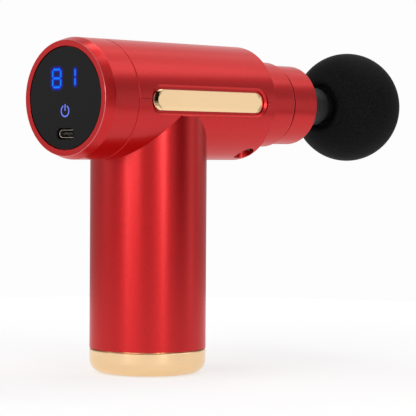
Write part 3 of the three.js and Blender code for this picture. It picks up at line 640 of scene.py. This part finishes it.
def make_port():
    """The rolled metal shell of the USB-C socket, with its tongue and contacts."""
    front = low("usb_c_shell").x + 0.9 * MM
    back = high("usb_c_shell").x
    wall = 0.3 * MM
    loops = []
    for x, inset in ((back, 0), (front + 0.12 * MM, 0), (front + 0.04 * MM, 0.04 * MM),
                     (front, 0.12 * MM), (front, wall - 0.1 * MM), (front + 0.1 * MM, wall),
                     (back, wall)):
        loops.append(rear_loop(x, USB_WIDE - 2 * inset, USB_TALL - 2 * inset))
    shell = stacked("port_shell", loops, tube=True)
    finish_piece(shell, "housing", PORT_STEEL, ["usb_c_shell"], 50)
    tongue = low("usb_c_tongue") + Vector((0.8 * MM, 0, 0))
    far = high("usb_c_tongue")
    bevel = 0.12 * MM
    loops = []
    for x, inset in ((tongue.x, bevel), (tongue.x + bevel, 0), (far.x, 0)):
        wide, tall = (far.y - tongue.y) - 2 * inset, 0.7 * MM - 2 * inset
        loops.append([Vector((x, sy * wide / 2, USB_Z + sz * tall / 2))
                      for sy, sz in ((-1, -1), (1, -1), (1, 1), (-1, 1))])
    blade = stacked("port_tongue", loops)
    finish_piece(blade, "housing", BLACK_PLASTIC, ["usb_c_tongue"])
    plug = [rear_loop(x, USB_WIDE - 2.2 * wall, USB_TALL - 2.2 * wall) for x in (back - 0.5 * MM, back)]
    finish_piece(stacked("port_back", plug), "housing", BLACK_PLASTIC)
    contact = 0.28 * MM
    pitch = 0.5 * MM
    contacts = 9
    for i in range(contacts):
        y = (i - contacts // 2) * pitch
        pad = box_tool((tongue.x + 0.3 * MM, tongue.x + 3 * MM), (y - contact / 2, y + contact / 2),
                       (USB_Z + 0.3 * MM, USB_Z + 0.37 * MM))
        pad.name = f"port_contact_{i + 1}"
        finish_piece(pad, "housing", GOLD)


LIT_X = WINDOW_X - 0.03 * MM


def lit_plate(name, outline, material):
    """A thin lit plate on the window, from its outline of (left, up) points seen from behind."""
    loops = [[Vector((x, -u, z)) for u, z in outline] for x in (LIT_X, WINDOW_X + 0.02 * MM)]
    plate = stacked(name, loops)
    return finish_piece(plate, "housing", material)


def make_digit(name, u, v, lit):
    half_width = STROKE / 2
    tip = half_width * 0.9
    for key, left, up, upright, length in digit_strokes(u, v, lit):
        half = length / 2
        corners = [(-half, 0), (-half + tip, half_width), (half - tip, half_width), (half, 0),
                   (half - tip, -half_width), (-half + tip, -half_width)]
        outline = [(left + b, up + a) if upright else (left + a, up + b) for a, b in corners]
        lit_plate(f"{name}_{key}", outline, DIGIT_LIT)


KEY_Z = AXIS_Z - 5.05 * MM
KEY_R = 2.15 * MM
KEY_LINE = 0.55 * MM


def arc_outline(radius, width, start, end, steps=48):
    """A curved stroke with round ends."""
    points = []
    for r, a, b in ((radius + width / 2, start, end), (radius - width / 2, end, start)):
        for k in range(steps + 1):
            angle = a + (b - a) * k / steps
            points.append((r * math.cos(angle), KEY_Z + r * math.sin(angle)))
        cap = Vector((radius * math.cos(b), KEY_Z + radius * math.sin(b)))
        turn = 1 if b > a else -1
        for k in range(1, 8):
            angle = b + (0 if turn > 0 else math.pi) + math.pi * k / 8
            points.append((cap.x + width / 2 * math.cos(angle), cap.y + width / 2 * math.sin(angle)))
    return points


def make_key():
    gap = math.radians(33)
    lit_plate("key_ring", arc_outline(KEY_R, KEY_LINE, math.pi / 2 + gap, math.pi * 2.5 - gap),
              KEY_LIT)
    bar_tall = 2.7 * MM
    bar = [(u, KEY_Z + bar_tall / 2 + v) for v, u in stadium(bar_tall, KEY_LINE, 8)]
    lit_plate("key_bar", bar, KEY_LIT)


# ---------------------------------------------------------------- trims


def make_trim(name, side):
    """A gold bar with sloped ends: (depth under its face, set in at ends, at long sides) in mm."""
    steps = ((1.0, 0, 0), (0.58, 0, 0), (0.46, 0.1, 0.03), (0.12, 1.56, 0.08), (0.075, 1.75, 0.22),
             (0, 2.07, 1.6))
    loops = [side_loop(side, TRIM_FACE - depth * MM, -ends * MM, -sides * MM)
             for depth, ends, sides in steps]
    return finish_piece(stacked(f"trim_plate_{name}", loops), "housing", GOLD,
                        [f"trim_{name}"], 2)


# ---------------------------------------------------------------- nose


def make_nose():
    guide = 13.6 * MM
    flange = 18.5 * MM
    neck = 15.7 * MM
    wall_x = SHELL_FRONT_X - 2.8 * MM
    collar = filleted([
        (guide, low("front_collar").x, 0), (flange, low("front_collar").x, 0), (flange, wall_x, 0),
        (neck, wall_x, 0), (neck, SHELL_FRONT_X + 0.12 * MM, 0),
        (COLLAR_R, SHELL_FRONT_X + 0.12 * MM, 0.2 * MM), (COLLAR_R, COLLAR_FRONT_X - 0.55 * MM, 0),
        (COLLAR_R - 0.28 * MM, COLLAR_FRONT_X, 0),
        (guide, COLLAR_FRONT_X, 0),
    ])
    ring = finish_piece(turned("collar_ring", collar, "x", 192), "housing", RED,
                        ["front_collar"])
    # The collar's front edge gets the painted highlight.
    painted_edge_highlight(ring, (COLLAR_FRONT_X - 0.28 * MM, 0.1 * MM), (COLLAR_R - 0.25 * MM, COLLAR_R))
    mouth = low("nose_seal").x + 0.1 * MM
    bore = 10.76 * MM
    lip_x = NOSE_FRONT_X - 2.5 * MM
    nose = filleted([
        (guide, NOSE_REAR_X, 0), (NOSE_R - 0.6 * MM, NOSE_REAR_X, 0),
        (NOSE_R - 0.6 * MM, NOSE_REAR_X + 1.5 * MM, 0), (NOSE_R, NOSE_REAR_X + 1.7 * MM, 0.2 * MM),
        (NOSE_R, NOSE_FRONT_X, 0.5 * MM), (bore, NOSE_FRONT_X, 0.4 * MM), (bore, lip_x, 0),
        (guide, lip_x, 0),
    ])
    finish_piece(turned("nose_cap", nose, "x", 192), "housing", RED, ["nose_ring"])
    seal_in = 8.86 * MM
    seal_out = 10.46 * MM
    front = high("nose_seal").x
    seal = filleted([
        (seal_in, mouth, 0), (13.3 * MM, mouth, 0), (13.3 * MM, mouth + 1.4 * MM, 0),
        (seal_out, mouth + 1.4 * MM, 0), (seal_out, front, 0.3 * MM), (seal_in, front, 0.3 * MM),
    ])
    finish_piece(turned("wiper_seal", seal, "x", 128), "housing", RUBBER, ["nose_seal"])


# ---------------------------------------------------------------- massage head

STEM_X = low("head_stem").x, high("head_stem").x
NECK_R = high("head_stem").y
NECK_REAR_X = 76.3 * MM
NECK_STEP_X = 100.2 * MM
SHOULDER_X = 106 * MM
PLUG_R = 5.8 * MM
RING_HALF = 0.7 * MM


def ring_places():
    return [(low(f"o_ring_{i}").x + high(f"o_ring_{i}").x) / 2 for i in (1, 2)]


def make_stem():
    groove = PLUG_R - 1.4 * MM
    half = RING_HALF + 0.3 * MM
    corners = [(0, STEM_X[0], 0), (PLUG_R, STEM_X[0], 0.8 * MM)]
    for x in ring_places():
        corners += [(PLUG_R, x - half, 0.12 * MM), (groove, x - half, 0),
                    (groove, x + half, 0), (PLUG_R, x + half, 0.12 * MM)]
    corners += [
        (PLUG_R, NECK_REAR_X, 0), (NECK_R, NECK_REAR_X, 0.4 * MM),
        (NECK_R, NECK_STEP_X, 0.15 * MM), (NECK_R - 0.3 * MM, NECK_STEP_X + 0.3 * MM, 0.15 * MM),
        (NECK_R - 0.3 * MM, SHOULDER_X, 1.35 * MM), (6.6 * MM, SHOULDER_X, 0.1 * MM),
        (6.6 * MM, STEM_X[1], 0.5 * MM), (0, STEM_X[1], 0),
    ]
    finish_piece(turned("stem_turned", filleted(corners), "x", 128), "head", GREY_PLASTIC,
                 ["head_stem"])
    for i, x in enumerate(ring_places()):
        ring = []
        for k in range(20):
            angle = 2 * math.pi * k / 20
            ring.append((PLUG_R - 0.6 * MM + 0.68 * MM * math.cos(angle),
                         x + RING_HALF * math.sin(angle)))
        finish_piece(turned(f"o_ring_round_{i + 1}", ring, "x", 96), "head_seals", RUBBER,
                     [f"o_ring_{i + 1}"], 80)


def make_ball():
    """The foam ball: an oblate skin, a rounded mouth round the stem, and a hollow core."""
    half = 23.2 * MM
    centre = BALL_HIGH.x - half
    mouth = 9.1 * MM
    lip = 2.4 * MM
    start = math.asin((mouth + lip) / BALL_R)
    lip_x = centre - half * math.cos(start)
    outline = []
    for k in range(97):
        angle = start + (math.pi - start) * k / 96
        outline.append((BALL_R * math.sin(angle) if k < 96 else 0, centre - half * math.cos(angle)))
    core = 16.5 * MM
    core_half = core * half / BALL_R
    outline.append((0, centre + core_half))
    socket = 6.9 * MM
    stop = math.asin(socket / core)
    for k in range(1, 17):
        angle = math.pi - (math.pi - stop) * k / 16
        outline.append((core * math.sin(angle), centre - core_half * math.cos(angle)))
    outline.append((socket, lip_x + lip + 0.6 * MM))
    outline.append((mouth, lip_x + lip))
    for k in range(1, 12):
        angle = math.pi / 2 * k / 12
        outline.append((mouth + lip * (1 - math.cos(angle)) * 0.9 + lip * 0.1 * k / 12,
                        lip_x + lip * (1 - math.sin(angle))))
    ball = turned("foam_ball", outline, "x", 192)
    finish_piece(ball, "head", FOAM, ["massage_ball"], 50)


# ---------------------------------------------------------------- end cap and screws


def make_end_cap():
    seam_z = HANDLE_LOW_Z - RUNNING_GAP
    spigot = HANDLE_R - 1.9 * MM
    inside = spigot - 0.9 * MM
    spigot_z = seam_z + 3.6 * MM
    base = 2.5 * MM
    outline = filleted([
        (0, BASE_Z, 0), (HANDLE_R - 0.2 * MM, BASE_Z, 5.4 * MM), (HANDLE_R, seam_z - 1.6 * MM, 0),
        (HANDLE_R, seam_z - 0.35 * MM, 0), (HANDLE_R - 0.3 * MM, seam_z, 0), (spigot, seam_z, 0),
        (spigot, spigot_z, 0), (inside, spigot_z, 0), (inside, BASE_Z + base, 0),
        (0, BASE_Z + base, 0),
    ], 14)
    finish_piece(turned("base_cap", outline, "z", 224), "housing", GOLD_SATIN,
                 ["end_cap"])


def make_collar_screw(name, side):
    """A black cap screw with a hexagonal key socket, deep in its counterbore."""
    node = f"collar_screw_{name}"
    head_low = low(node).z
    head_r = 2.8 * MM
    head_high = HOLE_FLOOR_Z - 0.3 * MM
    outline = filleted([
        (0, head_low, 0), (head_r, head_low, 0.3 * MM), (head_r, head_high, 0), (1.2 * MM, head_high, 0),
        (1.2 * MM, high(node).z, 0.2 * MM), (0, high(node).z, 0),
    ])
    screw = turned(f"cap_screw_{name}", outline, "z", 64, (HOLE_X, side * HOLE_Y, 0))
    loops = [[Vector((HOLE_X + 1.45 * MM * math.cos(a), side * HOLE_Y + 1.45 * MM * math.sin(a), z))
              for a in (math.pi / 3 * k for k in range(6))]
             for z in (head_low - MM, head_low + 1.1 * MM)]
    cut(screw, stacked("key_tool", loops))
    finish_piece(screw, "housing", BLACK_PLASTIC, [node])


# ---------------------------------------------------------------- everything, in order


def dress_cad_nodes():
    """The inner pieces keep their CAD shape and get the finish of their slot."""
    slots = {row["node"]: row["material_slot"] for row in frame["record"]["subparts"]}
    for name, obj in frame["nodes"].items():
        obj.data.materials.clear()
        obj.data.materials.append(SLOT_LOOKS[slots[name]])


def make_object():
    make_upper_shell()
    make_lower_shell()
    make_bezel()
    make_window()
    make_port()
    for name, u, v, lit in DIGITS:
        make_digit(name, u, v, lit)
    make_key()
    for name, side in (("left", 1), ("right", -1)):
        make_trim(name, side)
        make_collar_screw(name, side)
    make_nose()
    make_stem()
    make_ball()
    make_end_cap()


# ---------------------------------------------------------------- studio

AZIMUTH = math.radians(-47.22)
PITCH = math.radians(1.62)
ROLL = math.radians(0.36)
DISTANCE = 802.07 * MM
AIM = (24.05 * MM, -43.6 * MM)  # the picture's centre, to the right of and up from AXIS
SENSOR = 36  # mm
FOCAL = 170.704  # mm
TABLE_R = 0.42
WHITE = 0.98  # what the camera sees behind the object
ROOM = 0.505  # how bright the rest of the room is


def view_axes():
    """The camera's right, up and backward directions."""
    back = Vector((math.sin(AZIMUTH) * math.cos(PITCH), -math.cos(AZIMUTH) * math.cos(PITCH),
                   math.sin(PITCH)))
    right = Vector((math.cos(AZIMUTH), math.sin(AZIMUTH), 0))
    up = back.cross(right)
    rolled = right * math.cos(ROLL) + up * math.sin(ROLL)
    return rolled, up * math.cos(ROLL) - right * math.sin(ROLL), back


def make_camera():
    right, up, back = view_axes()
    data = bpy.data.cameras.new("camera")
    data.sensor_width = SENSOR
    data.lens = FOCAL
    data.clip_end = 20
    camera = bpy.data.objects.new("camera", data)
    bpy.context.scene.collection.objects.link(camera)
    turn = Matrix((right, up, back)).transposed().to_4x4()
    place = AXIS + back * DISTANCE + right * AIM[0] + up * AIM[1]
    camera.matrix_world = Matrix.Translation(place) @ turn
    bpy.context.scene.camera = camera


def heading(direction):
    """The unit vector from the object toward a direction (azimuth, elevation) in degrees."""
    azimuth, elevation = (math.radians(a) for a in direction)
    return Vector((math.sin(azimuth) * math.cos(elevation), -math.cos(azimuth) * math.cos(elevation),
                   math.sin(elevation)))


def dark_card(name, direction, distance, size):
    """A black card off camera, for the polished metal to reflect."""
    toward = heading(direction)
    side = toward.cross(Vector((0, 0, 1))).normalized() * size[0] / 2
    up = side.cross(toward).normalized() * size[1] / 2
    centre = AXIS + toward * distance
    corners = [centre + side * a + up * b for a, b in ((-1, -1), (1, -1), (1, 1), (-1, 1))]
    card = mesh_object(name, corners, [(0, 1, 2, 3)])
    nodes = Nodes(name)
    nodes.link(nodes.tint(nodes.noise(40, 2), (0.004, 0.004, 0.004), (0.006, 0.006, 0.006)),
               nodes.shader.inputs["Base Color"])
    nodes.shader.inputs["Roughness"].default_value = 0.9
    nodes.shader.inputs["Specular IOR Level"].default_value = 0
    card.data.materials.append(nodes.material)
    card.visible_camera = False


def softbox(name, direction, distance, size, power, target=AXIS):
    """A rectangular light at a distance along a direction (azimuth, elevation) from a target."""
    toward = heading(direction)
    data = bpy.data.lights.new(name, "AREA")
    data.shape = "RECTANGLE"
    data.size, data.size_y = size
    data.energy = power
    light = bpy.data.objects.new(name, data)
    bpy.context.scene.collection.objects.link(light)
    light.location = target + toward * distance
    light.rotation_euler = toward.to_track_quat("Z", "Y").to_euler()
    light.visible_camera = False


def make_world():
    """White behind the object, and an even dimmer light from everywhere else."""
    world = bpy.data.worlds.new("studio")
    bpy.context.scene.world = world
    world.use_nodes = True
    tree = world.node_tree
    tree.nodes.clear()
    output = tree.nodes.new("ShaderNodeOutputWorld")
    seen = tree.nodes.new("ShaderNodeBackground")
    seen.inputs["Color"].default_value = (1, 1, 1, 1)
    seen.inputs["Strength"].default_value = WHITE
    place = tree.nodes.new("ShaderNodeTexCoord")
    behind = tree.nodes.new("ShaderNodeVectorMath")
    behind.operation = "DOT_PRODUCT"
    away = view_axes()[2]
    behind.inputs[1].default_value = Vector((-away.x, -away.y, 0.45)).normalized()
    ramp = tree.nodes.new("ShaderNodeMapRange")
    ramp.inputs["From Min"].default_value = 0.84
    ramp.inputs["From Max"].default_value = 0.96
    ramp.inputs["To Min"].default_value = ROOM
    ramp.inputs["To Max"].default_value = WHITE
    lit = tree.nodes.new("ShaderNodeBackground")
    lit.inputs["Color"].default_value = (1, 1, 1, 1)
    path = tree.nodes.new("ShaderNodeLightPath")
    mix = tree.nodes.new("ShaderNodeMixShader")
    tree.links.new(place.outputs["Generated"], behind.inputs[0])
    tree.links.new(behind.outputs["Value"], ramp.inputs["Value"])
    tree.links.new(ramp.outputs["Result"], lit.inputs["Strength"])
    tree.links.new(path.outputs["Is Camera Ray"], mix.inputs[0])
    tree.links.new(lit.outputs[0], mix.inputs[1])
    tree.links.new(seen.outputs[0], mix.inputs[2])
    tree.links.new(mix.outputs[0], output.inputs["Surface"])


def make_floor():
    """A plain white round table top, lit evenly to its rim."""
    steps = 96
    verts = [Vector((TABLE_R * math.cos(a), TABLE_R * math.sin(a), BASE_Z - 0.2 * MM))
             for a in (2 * math.pi * k / steps for k in range(steps))]
    floor = mesh_object("floor", verts, [tuple(range(steps))])
    nodes = Nodes("floor_white")
    fine = nodes.noise(40, 2)
    nodes.link(nodes.tint(fine, (0.44, 0.44, 0.44), (0.46, 0.46, 0.46)),
               nodes.shader.inputs["Base Color"])
    nodes.shader.inputs["Roughness"].default_value = 0.9
    nodes.shader.inputs["Specular IOR Level"].default_value = 0
    nodes.shader.inputs["Emission Color"].default_value = (1, 1, 1, 1)
    reach = nodes.add("ShaderNodeVectorMath", operation="LENGTH")
    nodes.link(nodes.place, reach.inputs[0])
    nodes.link(nodes.ramp(reach.outputs["Value"], 0.57, 0.625, 0.1, TABLE_R),
               nodes.shader.inputs["Emission Strength"])
    floor.data.materials.append(nodes.material)


def make_lights():
    """Tall strips for the streaks down the handle, panels round the sides and above for the barrel,
    small cards for the trim and the foot, and a black card for the trim's near end."""
    view = math.degrees(AZIMUTH)
    handle = Vector((0, 0, 0.06))
    strips = (("strip_left_far", -42, 0.84), ("strip_left", -30, 0.7), ("strip_left_near", -20, 0.75),
              ("strip_right_near", 20, 0.3), ("strip_right", 30, 1.34))
    for name, offset, power in strips:
        softbox(name, (view + offset, 14), 1.0, (0.12, 0.45), power, handle)
    panels = (("panel_near_side", 85, 40, 0.45), ("panel_side", 110, 40, 0.53),
              ("panel_back", 140, 40, 0.29), ("panel_top", 150, 62, 1.75),
              ("panel_top_side", 100, 62, 0.88), ("panel_left", -86, 6, 0.26),
              ("panel_left_high", -86, 35, 1.6), ("panel_near_left", -60, 40, 0.75),
              ("panel_near", -20, 40, 0.38))
    for name, offset, height, power in panels:
        softbox(name, (view + offset, height), 1.2, (0.45, 0.35), power)
    cards = (("trim_card", 0, 4.5, 0.21, 0.066), ("trim_card_low", 0, -5.5, 0.12, 0.045),
             ("trim_end_card", 26, 4.5, 0.21, 0.066))
    for name, offset, height, tall, power in cards:
        softbox(name, (-view + offset, height), 1.0, (0.2, tall), power)
    for name, offset, power in (("foot_left", -37, 0.11), ("foot_right", 33, 0.11)):
        softbox(name, (view + offset, -1), 1.0, (0.1, 0.08), power, handle)
    dark_card("dark_card", (view + 68, 13), 0.95, (0.4, 0.6))


def main():
    scene = bpy.context.scene
    scene.view_settings.view_transform = "Standard"
    make_camera()
    make_world()
    make_floor()
    make_lights()
    dress_cad_nodes()
    make_object()


main()
